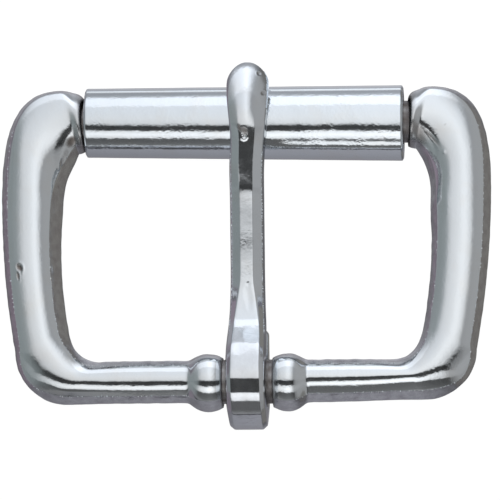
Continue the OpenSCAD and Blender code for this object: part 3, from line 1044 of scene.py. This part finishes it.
@dataclass
class RolledTube:
    """The roller: a sheet rolled into a tube by a node tree.

    Attributes:
        sizes: driving sizes.
        name: name of the finished object.
        along: faces along the roller.
        around: faces round it.
        askew: how far the loose roller hangs towards +Y, and how much farther at its right end,
            in millimetres.
        ridge: size of a low wave pressed along the right half, in millimetres.
        ridge_turn: where the wave lies, from the top towards +Y, in degrees.
        ridge_wide: width of the wave, in degrees.
        rim: radius of its rims, in millimetres.
        wave: height of the waves in its face, in millimetres.
        seed: makes the waves its own.
    """

    # ridge: its height at the crest, how many times slower it runs out, and the share of the
    # length over which it comes in
    CREST, RUN_OUT, COME_IN = 0.607, 6, 0.2
    # bore: how rough it is, and how far inside the outer face it starts, in millimetres
    BORE_ROUGH, BORE_IN = 0.7, 0.3
    # how the faces crowd towards the rims, the seam's rounding over the rims', and waves a
    # millimetre, detail and middle of the noise in the face
    CROWD, SEAM_RIM, PER_MM, DETAIL, MIDDLE = -0.045, 0.35, 0.28, 1.0, 0.6

    sizes: BuckleSizes
    name: str = "roller_look"
    along: int = 190
    around: int = 200
    askew: tuple[float, float] = (0.04, -0.36)
    ridge: float = 0.1
    ridge_turn: float = -47.0
    ridge_wide: float = 7.0
    rim: float = 0.25
    wave: float = 0.04
    seed: int = 3

    def tree(self) -> bpy.types.NodeTree:
        """Makes the tree that rolls a flat sheet into a tube with an open seam.

        Returns:
            The node tree, with named inputs for every size.
        """
        t, given = Tree.group("rolled_sheet", ("Length", "Left Radius", "Right Radius", "Wall",
                                               "Seam Width", "Seam Turn", "Rim", "Wave Height"))
        length, rim, full = given["Length"], given["Rim"], 2 * math.pi
        left, right = given["Left Radius"], given["Right Radius"]

        def rolled(reach: Socket) -> Socket:
            """Place of the sheet's point at this distance from the axis."""
            return t.vector(x, *(t.times(reach, t.math(turn, angle)) for turn in ("COSINE", "SINE")))

        sheet = t.add("GeometryNodeMeshCube", {
            "Size": (1.0, 1.0, 1.0), "Vertices X": self.along + 1, "Vertices Y": self.around + 1,
            "Vertices Z": 4})
        split = t.add("ShaderNodeSeparateXYZ", {0: t.add("GeometryNodeInputPosition").outputs[0]})
        u, v, w = (t.plus(split.outputs[k], 0.5) for k in range(3))
        # the faces lie closer together near both rims
        u = t.plus(u, t.times(t.math("SINE", t.times(u, full)), self.CROWD))
        radius = t.plus(left, t.times(u, t.minus(right, left)))
        half_gap = t.math("DIVIDE", t.times(given["Seam Width"], 0.5), radius)
        span = t.minus(full, t.times(half_gap, 2.0))
        angle = t.plus(t.math("MULTIPLY_ADD", v, span, half_gap), given["Seam Turn"])
        # rounded rims: the outer face comes in near both ends and near the seam
        x = t.times(u, length)
        end = t.math("MINIMUM", x, t.minus(length, x))
        brink = t.times(t.math("MINIMUM", v, t.minus(1.0, v)), t.times(radius, full))
        drop = t.plus(self._round_off(t, end, rim),
                      self._round_off(t, brink, t.times(rim, self.SEAM_RIM)))
        wave = t.minus(t.noise(rolled(radius), self.PER_MM, self.DETAIL, given["Seed"]), self.MIDDLE)
        depth = t.times(t.minus(1.0, w), given["Wall"])
        reach = t.minus(radius, t.math("MAXIMUM", depth, drop))
        reach = t.plus(reach, t.times(wave, given["Wave Height"]))
        bent = t.add("GeometryNodeSetPosition", {
            "Geometry": sheet.outputs["Mesh"], "Position": rolled(reach)})
        smooth = t.add("GeometryNodeSetShadeSmooth", {"Geometry": bent.outputs[0]})
        return t.dress(smooth.outputs[0], given["Material"])

    @staticmethod
    def _round_off(t: Tree, away: Socket, radius: Socket) -> Socket:
        """How far a face has come in at a distance from an edge rounded with this radius."""
        short = t.math("MAXIMUM", t.minus(radius, away), 0.0)
        inside = t.minus(t.times(radius, radius), t.times(short, short))
        return t.minus(radius, t.math("SQRT", t.math("MAXIMUM", inside, 0.0)))

    def build(self) -> bpy.types.Object:
        """Makes the roller as a plain mesh on its axis.

        Returns:
            The finished object.
        """
        s = self.sizes
        lengths = {
            "Length": s.roller_len, "Left Radius": s.roller_d_left / 2,
            "Right Radius": s.roller_d_right / 2, "Wall": s.roller_wall, "Seam Width": s.seam_w,
            "Rim": self.rim, "Wave Height": self.wave,
        }
        values = {name: value * MM for name, value in lengths.items()}
        values["Seam Turn"] = math.radians(90 - s.seam_turn) + math.pi * 2
        values |= {"Seed": self.seed, "Material": ROLLER_PLATE.build()}
        obj = add_object(self.name, bpy.data.meshes.new(self.name))
        settle_tree(obj, self.tree(), values)
        self._lie_down(obj.data)
        return obj

    def _lie_down(self, mesh: bpy.types.Mesh) -> None:
        """Presses the ridge into the tube and moves it from the origin to its bar on the table."""
        s = self.sizes
        points = np.empty(len(mesh.vertices) * 3)
        mesh.vertices.foreach_get("co", points)
        points = points.reshape(-1, 3) / MM
        off = (np.degrees(np.arctan2(points[:, 1], points[:, 2])) - self.ridge_turn) / self.ridge_wide
        wave = np.where(off < 1, off * np.exp(-off * off / 2),
                        self.CREST * np.exp(-(((off - 1) / self.RUN_OUT) ** 2)))
        share = points[:, 0] / s.roller_len - 0.5
        swell = self.ridge * wave * ease(share / self.COME_IN)
        points[:, 1:] *= 1 - (swell / s.roller_d_right * 2)[:, None]
        points[:, 1] += self.askew[0] + self.askew[1] * share
        points += [-s.knob_x - s.arm_shift + s.left_gap, s.axis_gap, 0]
        mesh.vertices.foreach_set("co", s.lie(points).reshape(-1))
        layer = mesh.attributes.new("rough", "FLOAT", "POINT")
        away = np.hypot(points[:, 1] - s.axis_gap - self.askew[0], points[:, 2])
        rough = np.where(away < s.roller_d_left / 2 - self.BORE_IN, self.BORE_ROUGH, 0.0)
        layer.data.foreach_set("value", rough)
        mesh.update()


# ------------------------------------------------------------------ the prong


class Station(NamedTuple):
    """Place along the prong.

    Attributes:
        y: place of the strip's middle above the heel axis, in millimetres.
        z: its height over the axis.
        turn: turn of the strip's normal from +Z, in radians.
        half: half of its width.
        thick: its thickness.
        flat: share of the width that the flat top takes.
        drop: how far the bevels fall, as a share of the thickness.
        dome: 1 turns the flat and its bevels into one round.
    """

    y: float
    z: float
    turn: float
    half: float
    thick: float
    flat: float
    drop: float
    dome: float


@dataclass
class Prong:
    """The prong: one bent strip with hammered facets.

    Attributes:
        sizes: driving sizes.
        name: name of the finished object.
        slopes: how far the top falls towards the roller, in degrees, by the share of the gap.
        rows: along the shank, share of the gap, thickness as a share, half width as a share, flat
            share of the top, drop of the bevels as a share of the thickness, and roundness of the
            top between 0 and 1.
        dents: hammer and handling marks.
        facets: hammered flats on the eye, their place and width in degrees from the top.
        brow: width between the bevels' outer edges as a share of the strip's.
        tip_roll: sideways slope of the tip.
        bow: how far the shank bows to the left, in millimetres.
        tip_back: how far the tip stays behind the CAD's, in millimetres.
        seams: lines along the bevels' outer edges, known once the prong is built.
        shank_steps: ribs along the shank.
        tip_steps: ribs along the tip.
        eye_steps: ribs round the eye.
        tail_steps: ribs along the tail.
    """

    # points along the halves of the top, a bevel, a side, the lower edge and the underside
    STEPS = (8, 9, 9, 4, 6)
    # lower edge of the sides, over the thickness
    UNDER = 0.16
    # tail: length of its rounded end in millimetres, and share of its size at the very end
    TAIL_ROUND, TAIL_END = 0.8, 0.5
    # tip: sweep of its ribs in degrees, least thickness, power of its thickness, curve of its
    # fall, how much of the lost thickness the top takes, and power of its width
    TIP_SWEEP, TIP_THIN, TIP_POWER, TIP_FALL, TIP_LESS, TIP_WIDE = 88, 0.2, 0.45, 0.13, 0.35, 1.15
    # along Y in millimetres, where each starts and the length over which it comes in, or goes out
    # where that is negative: slope of the tip, bow, end of the bow, roughness of the eye
    ROLL_IN, BOW_IN, BOW_OUT, ROUGH_OUT = (25, 5), (-8, 8), (27, -5), (5, -3)
    EYE_ROUGH = 0.3
    # height of the waves, their length, how far they lower the surface, and their seed
    WAVES, SEED = (0.012, 2.2, 0.014), 31.0
    # ribs of the shank at both ends that carry no burr
    BARE = (40, 60)
    # share of the thickness by which the top clears the roller, and the share of the gap where
    # the line starts to be raised to it and over which that comes in
    CLEAR, RAISED = 0.98, (0.1, 0.8)

    sizes: BuckleSizes
    name: str = "prong_look"
    slopes: tuple[tuple[float, float], ...] = (
        (0.00, 0), (0.03, 10), (0.08, 20), (0.105, 24), (0.122, 36), (0.14, 38.5), (0.165, 39.5),
        (0.19, 38.5), (0.205, 35), (0.225, 23), (0.24, 16), (0.30, 9), (0.36, 0), (0.40, -5),
        (0.50, -7.6), (0.70, -8.6), (0.72, -14), (0.735, -20), (0.935, -21.5), (0.95, -14),
        (0.97, -6), (1.0, -1), (1.04, 8), (1.08, 16), (1.11, 19),
    )
    rows: tuple[tuple[float, ...], ...] = (
        (0.00, 1.00, 1.000, 0.68, 0.17, 0.0),
        (0.05, 1.00, 0.995, 0.67, 0.17, 0.0),
        (0.09, 1.00, 0.985, 0.68, 0.20, 0.0),
        (0.14, 1.01, 0.970, 0.68, 0.24, 0.0),
        (0.19, 1.03, 0.940, 0.67, 0.27, 0.0),
        (0.24, 1.05, 0.905, 0.62, 0.29, 0.0),
        (0.30, 1.06, 0.870, 0.53, 0.30, 0.0),
        (0.38, 1.08, 0.845, 0.38, 0.30, 0.0),
        (0.48, 1.09, 0.840, 0.37, 0.30, 0.0),
        (0.66, 1.08, 0.840, 0.37, 0.30, 0.0),
        (0.80, 1.04, 0.850, 0.39, 0.30, 0.05),
        (0.90, 1.00, 0.870, 0.42, 0.31, 0.15),
        (0.95, 0.99, 0.890, 0.46, 0.35, 0.6),
        (1.00, 0.98, 0.920, 0.50, 0.40, 0.95),
        (1.05, 0.95, 0.975, 0.50, 0.45, 1.0),
        (1.11, 0.91, 1.015, 0.50, 0.50, 1.0),
    )
    dents: tuple[Dent, ...] = (
        Dent(1.4, 33.1, 0.24, 0.09, 1.2, 0.3, 20, 0.4), Dent(1.9, 30.8, 0.26, 0.09, 1.3, 0.3, -20, 0.3),
        Dent(-0.1, 25.9, 0.28, 0.10, 1.0, 0.8), Dent(-0.1, 26.5, 0.42, 0.04, 1.3, 0.2, 25, 0.7),
        Dent(-0.65, 26.8, 0.2, 0.03, 2.4, 0.0, 15, 0.75),
        Dent(0.1, 10.5, 0.3, 0.025, 1.2, 0.4), Dent(0.1, 9.0, 0.5, 0.035, 3.5, 0.3, 8),
        Dent(0.6, 4.6, 0.9, 0.03, 1.2), Dent(-0.7, 2.8, 0.8, 0.03, 1.0),
    )
    facets: tuple[tuple[float, float], ...] = ((14.0, 17.0), (40.0, 12.0), (62.0, 20.0))
    brow: float = 0.89
    tip_roll: float = 0.14
    bow: float = 0.22
    tip_back: float = 0.3
    seams: list[np.ndarray] = field(default_factory=list)
    shank_steps: int = 260
    tip_steps: int = 34
    eye_steps: int = 130
    tail_steps: int = 34

    def ring(self, at: Station) -> tuple[np.ndarray, np.ndarray]:
        """Section of the strip: a flat or round top, two bevels, two sides and a flat underside.

        Args:
            at: station of the section.

        Returns:
            Offsets across the strip and up from its middle.
        """
        half, thick = at.half, at.thick
        fall, under = thick * at.drop, thick * self.UNDER
        brow = half * mix(self.brow, 1.0, at.dome)
        corners = np.array([
            (0, thick / 2), (half * at.flat, thick / 2), (brow, thick / 2 - fall),
            (half, -thick / 2 + under), (half - under, -thick / 2), (0, -thick / 2)])
        sides = [mix(a, b, spread(n)[:-1, None]) for a, b, n in zip(corners, corners[1:], self.STEPS)]
        x, z = np.concatenate(sides + [corners[-1:]]).T
        top = sum(self.STEPS[:2])
        z[:top] = mix(z[:top], thick / 2 - fall * (x[:top] / half) ** 2, at.dome)
        x, z = np.concatenate([x, -x[-2:0:-1]]), np.concatenate([z, z[-2:0:-1]])
        for _ in range(2):
            x, z = (0.5 * v + 0.25 * (np.roll(v, 1) + np.roll(v, -1)) for v in (x, z))
        return x, z

    def top_line(self) -> tuple[np.ndarray, np.ndarray]:
        """Top of the strip from over the heel axis to past the roller.

        Returns:
            Distances from the heel axis and heights over it, in millimetres.
        """
        s = self.sizes
        share = np.linspace(0, self.slopes[-1][0], 500)
        slope = np.interp(share, [p[0] for p in self.slopes], [p[1] for p in self.slopes])
        y = share * s.axis_gap
        step = np.diff(y)
        fall = np.tan(np.radians((slope[1:] + slope[:-1]) / 2)) * step
        z = s.loop_r - np.concatenate([[0], np.cumsum(fall)])
        # what is left of the way up to the top of the roller is shared out over the rise
        over = s.rest_z + self.CLEAR * s.prong_t
        missing = over - np.interp(s.axis_gap, y, z)
        LOG.info("prong line misses the roller's height by %.2f mm", missing)
        return y, z + missing * ease((share - self.RAISED[0]) / self.RAISED[1])

    def stations(self) -> list[Station]:
        """Stations from the tail to the tip.

        Returns:
            The stations in order.
        """
        s = self.sizes
        rows = np.array(self.rows)
        half, thick = s.prong_w / 2, s.prong_t
        mid_r = s.eye_r + thick / 2
        eye_form = (rows[0, 3], rows[0, 4], 0.0)
        found = []
        end_at = math.radians(270 + s.tail_turn)
        for i in range(self.tail_steps):
            t = i / self.tail_steps
            u = 1 - t
            near = min(1.0, t * s.tail_len / self.TAIL_ROUND)
            size = math.sqrt(max(0.0, 1 - (1 - near) ** 2)) * (1 - self.TAIL_END) + self.TAIL_END
            y = mid_r * math.cos(end_at) - s.tail_len * u * math.sin(end_at)
            z = mid_r * math.sin(end_at) + s.tail_len * u * math.cos(end_at)
            found.append(Station(y, z, end_at - math.pi / 2, half * size, thick * size, *eye_form))
        for i in range(self.eye_steps):
            a = mix(end_at, math.pi / 2, i / self.eye_steps)
            cut = 0.0
            for middle, width in self.facets:
                off, h = a - math.radians(90 + middle), math.radians(width) / 2
                if abs(off) < h:
                    cut = s.loop_r * (1 - math.cos(h) / math.cos(off))
            r = mid_r - cut / 2
            found.append(Station(r * math.cos(a), r * math.sin(a), a - math.pi / 2, half,
                                 thick - cut, *eye_form))
        line_y, line_z = self.top_line()
        columns = [self._smooth(rows[:, 0], rows[:, k]) for k in (1, 2, 3, 4, 5)]
        y_end = rows[-1, 0] * s.axis_gap
        for y in np.linspace(0, y_end, self.shank_steps, endpoint=False):
            t_here, w_here, *form = (c(y / s.axis_gap) for c in columns)
            t_here *= thick
            top = float(np.interp(y, line_y, line_z))
            found.append(Station(y, top - t_here / 2, 0.0, half * w_here, t_here, *form))
        thin, wide, flat, drop = rows[-1, 1] * thick, *rows[-1, 2:5]
        reach = s.axis_gap + s.prong_over - y_end - self.tip_back
        slope = math.tan(math.radians(self.slopes[-1][1]))
        end_z = float(np.interp(y_end, line_y, line_z))
        for i in range(self.tip_steps + 1):
            a = math.radians(self.TIP_SWEEP * i / self.tip_steps)
            k = math.sin(a)
            t_here = thin * max(self.TIP_THIN, math.cos(a) ** self.TIP_POWER)
            fall = reach * k * (slope + self.TIP_FALL * k)
            top = end_z - fall - (thin - t_here) * self.TIP_LESS
            w_here = wide * math.cos(a) ** self.TIP_WIDE
            # the round of the top stays the same while the outline closes in on it
            drop_here = drop * (w_here / wide) ** 2 * thin / t_here
            found.append(Station(y_end + reach * k, top - t_here / 2, 0.0, half * w_here, t_here,
                                 flat, drop_here, 1.0))
        return found

    @staticmethod
    def _smooth(x: np.ndarray, y: np.ndarray) -> Callable[[float], float]:
        """Curve through points without overshoot, as a function."""
        d = np.diff(y) / np.diff(x)
        m = np.concatenate([[d[0]], (d[:-1] + d[1:]) / 2, [d[-1]]])
        m[1:-1] = np.where(d[:-1] * d[1:] <= 0, 0, m[1:-1])

        def at(v: float) -> float:
            """Value of the curve at v."""
            i = int(np.clip(np.searchsorted(x, v) - 1, 0, len(x) - 2))
            h = x[i + 1] - x[i]
            t = (v - x[i]) / h
            return float((1 + 2 * t) * (1 - t) ** 2 * y[i] + t * (1 - t) ** 2 * h * m[i]
                         + t * t * (3 - 2 * t) * y[i + 1] + t * t * (t - 1) * h * m[i + 1])

        return at

    def build(self) -> bpy.types.Object:
        """Makes the prong's mesh and dresses it.

        Returns:
            The finished object.
        """
        s = self.sizes
        rings = []
        for at in self.stations():
            x, up = self.ring(at)
            y, z = at.y - up * math.sin(at.turn), at.z + up * math.cos(at.turn)
            rings.append(np.stack([x + s.prong_shift, y, z], -1))
        rings = np.array(rings)
        x, z = rings[..., 0] - s.prong_shift, rings[..., 2]
        front = z > z.mean(axis=1, keepdims=True)

        def come_in(start: float, length: float) -> np.ndarray:
            """Share of a change at each point; a negative length makes it go out."""
            return ease((rings[..., 1] - start) / length)

        rings[..., 2] -= self.tip_roll * x * come_in(*self.ROLL_IN) * front
        rings[..., 0] -= self.bow * come_in(*self.BOW_IN) * come_in(*self.BOW_OUT)
        rings = pressed(rings, waves(rings, *self.WAVES, self.SEED), self.dents)
        # the dents darken their bottoms with dirt and painted shade
        soot = sum(dent.soil(rings) for dent in self.dents)
        rough = self.EYE_ROUGH * come_in(*self.ROUGH_OUT)
        skin = Skin(self.name)
        skin.loft(rings, rough, np.clip(soot, 0, 1))
        shank = slice(self.tail_steps + self.eye_steps + self.BARE[0], -self.tip_steps - self.BARE[1])
        edge = sum(self.STEPS[:2])
        self.seams = [rings[shank, edge], rings[shank, -edge]]
        return skin.build(s, PRONG_PLATE.build())


# ------------------------------------------------------------------ studio


@dataclass(frozen=True)
class Studio:
    """Table, light tent and camera.

    Attributes:
        yaw: how far the camera stands to the right, in degrees.
        pitch: how far it stands towards the heel bar.
        distance: its distance from the target, in metres.
        view_width: width of the view at that distance.
        target: middle of the tent.
        aim: how far the camera stands to the right of the target and above it in its own view.
        tent_radius: distance from the target to the tent.
        bands: brightness seen in the metal, by twice its tilt towards the top of the view.
        tints: colours of the bands, by the same angle.
        widths: gain of the bands and share of the plain grey sides, by the place along the tent.
        sides: colours of the left and right sides as seen in the metal.
        feet: the same below the height of the target.
        horizon: share of the foot's colour, and gain, by the place round the tent's ends.
        half_length: half of the tent's length.
        table_half: half of the table's width.
    """

    # width of the camera's sensor in millimetres, and faces round the tent
    SENSOR, TENT_FACES = 36, 180

    yaw: float = 3.6
    pitch: float = 9.0
    distance: float = 0.6
    view_width: float = 0.0543
    target: tuple[float, float, float] = (0.0, 0.0, 0.005)
    aim: tuple[float, float] = (0.00049, -0.00038)
    tent_radius: float = 0.16
    bands: tuple[tuple[float, float], ...] = (
        (-180, 118), (-137, 128), (-115, 136), (-99, 142), (-95, 62), (-90, 62), (-87, 124), (-79, 130),
        (-75, 104), (-65, 92), (-51, 84), (-48, 225), (-36, 254), (-24, 232), (-21.5, 62), (-5, 52),
        (-2.5, 180), (3, 216), (20, 225), (58, 226), (62, 252), (90, 252), (96, 184), (102, 156),
        (115, 148), (135, 165), (150, 172), (180, 118),
    )
    tints: tuple[tuple[float, tuple[float, float, float]], ...] = (
        (-180, (1, 0.97, 1.04)), (-140, (0.99, 0.98, 1.06)), (-92, (0.99, 0.98, 1.06)), (-80, (1, 1, 1)),
        (15, (1, 1, 1)), (40, (0.98, 1, 1.03)), (90, (0.97, 1, 1.06)), (180, (1, 0.98, 1.04)),
    )
    widths: tuple[tuple[float, float, float], ...] = (
        (-0.40, 0.5, 0.95), (-0.22, 0.58, 0.8), (-0.165, 0.64, 0.5), (-0.13, 0.70, 0.1), (-0.09, 0.82, 0.0),
        (-0.055, 0.89, 0.0), (-0.025, 0.98, 0.0), (0.0, 1.10, 0.0), (0.02, 1.12, 0.0), (0.04, 0.98, 0.0),
        (0.06, 0.78, 0.0), (0.075, 0.56, 0.0), (0.088, 0.42, 0.1), (0.105, 0.38, 0.55), (0.15, 0.40, 0.85),
        (0.40, 0.40, 0.95),
    )
    sides: tuple[tuple[float, float, float], ...] = ((128, 134, 134), (152, 152, 152))
    feet: tuple[tuple[float, float, float], ...] = ((134, 122, 132), (124, 121, 116))
    horizon: tuple[tuple[float, float, float], ...] = (
        (0, 1, 1), (0.17, 1, 1), (0.20, 1, 0.8), (0.235, 0.7, 0.8), (0.26, 0.3, 1), (0.33, 0, 1),
        (0.67, 0, 1), (0.74, 0.2, 1), (0.77, 0.6, 0.65), (0.80, 1, 0.65), (0.83, 1, 1), (1, 1, 1),
    )
    half_length: float = 0.4
    table_half: float = 3.0

    def axes(self) -> tuple[Vector, Vector, Vector]:
        """Directions towards the camera, to the right and to the top of its view."""
        a, b = math.radians(self.pitch), math.radians(self.yaw)
        back = Vector((math.sin(b) * math.cos(a), -math.sin(a), math.cos(b) * math.cos(a)))
        right = Vector((0, 1, 0)).cross(back).normalized()
        return back, right, back.cross(right)

    def camera(self) -> None:
        """Adds the camera and makes it the scene's."""
        data = bpy.data.cameras.new("camera")
        data.sensor_width = self.SENSOR
        data.lens = self.SENSOR * self.distance / self.view_width
        data.clip_start, data.clip_end = 0.01, 10
        cam = add_object("camera", data)
        back, right, up = self.axes()
        look = Matrix((right, up, back)).transposed().to_4x4()
        middle = Vector(self.target) + back * self.distance
        look.translation = middle + self.aim[0] * right + self.aim[1] * up
        cam.matrix_world = look
        bpy.context.scene.camera = cam

    def tent(self) -> bpy.types.Object:
        """Adds the tent: a drum round the level axis of the view, lit in bands.

        Returns:
            The tent.
        """
        back, right, up = self.axes()
        target, n = Vector(self.target), self.TENT_FACES
        verts, faces, coords = [], [], []
        for end in (-1, 1):
            for k in range(n + 1):
                a = mix(-math.pi, math.pi, k / n)
                p = target + right * end * self.half_length
                p += self.tent_radius * (back * math.cos(a) + up * math.sin(a))
                verts.append(p)
                coords.append((k / n, (end + 1) / 2))
        for k in range(n):
            faces.append((k, k + 1, n + 2 + k, n + 1 + k))
        for first, v in ((0, 0.0), (n + 1, 1.0)):
            verts.append(target + right * (2 * v - 1) * self.half_length)
            coords.append((0.5, v))
            faces += [(first + k, first + k + 1, len(verts) - 1) for k in range(n)]
        mesh = bpy.data.meshes.new("tent")
        mesh.from_pydata(verts, [], faces)
        layer = mesh.uv_layers.new(name="UVMap")
        for face in mesh.polygons:
            edge = [coords[v] for v in face.vertices if v < 2 * n + 2]
            around = sum(p[0] for p in edge) / len(edge)
            for loop in face.loop_indices:
                v = mesh.loops[loop].vertex_index
                layer.data[loop].uv = coords[v] if v < 2 * n + 2 else (around, coords[v][1])
        mesh.materials.append(self._tent_light())
        tent = add_object("tent", mesh)
        tent.visible_camera = False
        return tent

    def _tent_light(self) -> bpy.types.Material:
        """Light of the tent: bands round it, darker towards its ends."""
        material, t = Tree.material("tent_light")
        split = t.add("ShaderNodeSeparateXYZ", {0: t.add("ShaderNodeUVMap", uv_map="UVMap").outputs[0]})
        around, along = split.outputs[0], split.outputs[1]
        light = t.ramp(around, [((a + 180) / 360, self._colour((v,) * 3)) for a, v in self.bands])
        tints = t.ramp(around, [((a + 180) / 360, c + (1,)) for a, c in self.tints])
        places = [((w[0] + self.half_length) / 2 / self.half_length, *w[1:]) for w in self.widths]
        gain, side = (t.greys(along, places, k) for k in (1, 2))
        under, dusk = (t.greys(around, self.horizon, k) for k in (1, 2))
        right = t.math("GREATER_THAN", along, 0.5)
        ends = [t.blend(right, self._colour(a), self._colour(b)) for a, b in (self.sides, self.feet)]
        light = t.blend(1.0, t.blend(1.0, light, gain, "MULTIPLY"), tints, "MULTIPLY")
        light = t.blend(side, light, t.blend(1.0, t.blend(under, *ends), dusk, "MULTIPLY"))
        glow = t.add("ShaderNodeEmission", {"Color": light, "Strength": 1.0})
        t.add("ShaderNodeOutputMaterial", {"Surface": glow.outputs[0]})
        return material

    @staticmethod
    def _colour(seen: tuple[float, float, float]) -> Colour:
        """Light that clean plate shows as these screen levels."""
        return tuple(linear(v) / METAL_SHARE for v in seen) + (1,)

    def table(self) -> bpy.types.Object:
        """Adds the white table.

        Returns:
            The table.
        """
        half = self.table_half
        corners = [(-half, -half, 0), (half, -half, 0), (half, half, 0), (-half, half, 0)]
        mesh = bpy.data.meshes.new("table")
        mesh.from_pydata(corners, [], [(0, 1, 2, 3)])
        material, t = Tree.material("table_paper")
        place = t.add("ShaderNodeTexCoord").outputs["Object"]
        grain = t.remap(t.noise(place, 0.02, 2), 0.3, 0.7, 0.98, 1.0)
        paper = t.add("ShaderNodeBsdfDiffuse", {"Color": (0.1, 0.1, 0.1, 1)})
        glow = t.add("ShaderNodeEmission", {"Color": (1, 1, 1, 1), "Strength": t.times(grain, 0.99)})
        both = t.add("ShaderNodeAddShader", {0: paper.outputs[0], 1: glow.outputs[0]})
        t.add("ShaderNodeOutputMaterial", {"Surface": both.outputs[0]})
        mesh.materials.append(material)
        table = add_object("table", mesh)
        table.visible_glossy = False
        return table

    def build(self) -> None:
        """Sets up the whole studio."""
        self.camera()
        self.table()
        self.tent()
        scene = bpy.context.scene
        scene.world = bpy.data.worlds.new("room")
        scene.world.use_nodes = True
        colour, strength, *_ = scene.world.node_tree.nodes["Background"].inputs
        colour.default_value, strength.default_value = (1, 1, 1, 1), 0.9
        scene.view_settings.view_transform = "Standard"
        scene.view_settings.look = "None"


# ------------------------------------------------------------------ all of it


def main() -> None:
    """Builds the buckle's looks on its CAD frame."""
    logging.basicConfig(level=logging.INFO, format="%(message)s")
    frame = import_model()
    sizes = BuckleSizes()
    parts = (
        (CastFrame(sizes), "frame", "frame_plate"),
        (RolledTube(sizes), "roller", "roller_plate"),
        (Prong(sizes), "prong", "prong_plate"),
    )
    nibs = {"frame": Flash("frame_flash", seed=3), "prong": Flash("prong_burr", 0.1, 0.1, 0.03, 0.75, 5)}
    for maker, node, slot in parts:
        piece = maker.build()
        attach(piece, node)
        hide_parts(node)
        cad = frame["nodes"][node].data
        cad.materials.clear()
        cad.materials.append(piece.data.materials[0])
        LOG.info("%s: %d faces", piece.name, len(piece.data.polygons))
        if node in nibs:
            extra = nibs[node].build(sizes, maker.seams, piece.data.materials[0])
            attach(extra, node)
            LOG.info("%s: %d faces", extra.name, len(extra.data.polygons))
    Studio().build()


if __name__ == "__main__":
    main()
